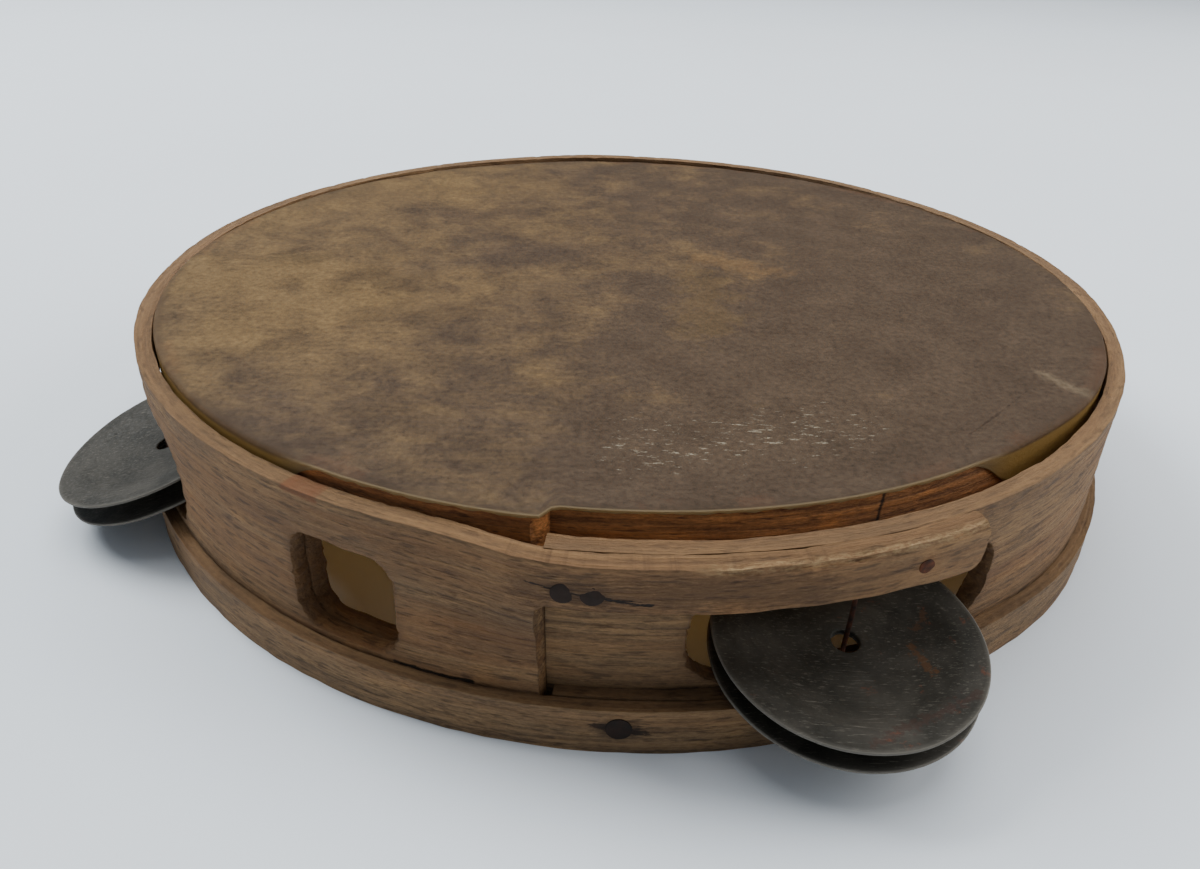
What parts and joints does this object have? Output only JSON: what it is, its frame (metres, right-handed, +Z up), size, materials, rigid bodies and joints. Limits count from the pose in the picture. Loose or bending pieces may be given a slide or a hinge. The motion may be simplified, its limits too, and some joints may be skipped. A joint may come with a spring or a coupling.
{
  "type": "tambourine",
  "caption": "Bent-wood tambourine with a hide head on an inner hoop, a thumb hole and pairs of loose tin jingles sliding on upright wires in the shell's slots.",
  "frame": {"origin": "on the axis of the shell's circle, in the plane that the rims stand on", "axes": "+Z up through the skin along the drum's axis; the lap of the shell faces -Y; the jingle slots lie round the Z axis"},
  "size_m": [0.242, 0.2429, 0.0412],
  "materials": {
    "shell_wood": "weathered, bare",
    "base_wood": "weathered, bare",
    "head_wood": "dark, bare",
    "hide": "dry, soiled",
    "jingle_tin": "dark patina",
    "wire_steel": "tarnished",
    "nail_iron": "oxidised"
  },
  "bodies": {
    "frame": {"shell_hoop": "shell_wood", "base_hoop": "base_wood", "head_hoop": "head_wood", "drum_skin": "hide", "lap_nails": "nail_iron", "tongue_end_nail": "nail_iron", "base_hoop_front_nail": "nail_iron", "base_hoop_end_nail": "nail_iron", "front_jingle_wire": "wire_steel", "left_jingle_wire": "wire_steel", "back_jingle_wire": "wire_steel", "right_jingle_wire": "wire_steel"},
    "front_lower_jingle": {"front_lower_jingle": "jingle_tin"},
    "front_upper_jingle": {"front_upper_jingle": "jingle_tin"},
    "left_lower_jingle": {"left_lower_jingle": "jingle_tin"},
    "left_upper_jingle": {"left_upper_jingle": "jingle_tin"},
    "back_lower_jingle": {"back_lower_jingle": "jingle_tin"},
    "back_upper_jingle": {"back_upper_jingle": "jingle_tin"},
    "right_lower_jingle": {"right_lower_jingle": "jingle_tin"},
    "right_upper_jingle": {"right_upper_jingle": "jingle_tin"}
  },
  "joints": [
    {"name": "front_lower_jingle_slide", "type": "slide", "parent": "frame", "child": "front_lower_jingle", "axis": [0, 0, 1], "range_m": [0, 0.005]},
    {"name": "front_upper_jingle_slide", "type": "slide", "parent": "front_lower_jingle", "child": "front_upper_jingle", "axis": [0, 0, 1], "range_m": [0, 0.007]},
    {"name": "left_lower_jingle_slide", "type": "slide", "parent": "frame", "child": "left_lower_jingle", "axis": [0, 0, 1], "range_m": [0, 0.004]},
    {"name": "left_upper_jingle_slide", "type": "slide", "parent": "left_lower_jingle", "child": "left_upper_jingle", "axis": [0, 0, 1], "range_m": [0, 0.0055]},
    {"name": "back_lower_jingle_slide", "type": "slide", "parent": "frame", "child": "back_lower_jingle", "axis": [0, 0, 1], "range_m": [0, 0.005]},
    {"name": "back_upper_jingle_slide", "type": "slide", "parent": "back_lower_jingle", "child": "back_upper_jingle", "axis": [0, 0, 1], "range_m": [0, 0.007]},
    {"name": "right_lower_jingle_slide", "type": "slide", "parent": "frame", "child": "right_lower_jingle", "axis": [0, 0, 1], "range_m": [0, 0.005]},
    {"name": "right_upper_jingle_slide", "type": "slide", "parent": "right_lower_jingle", "child": "right_upper_jingle", "axis": [0, 0, 1], "range_m": [0, 0.007]}
  ]
}
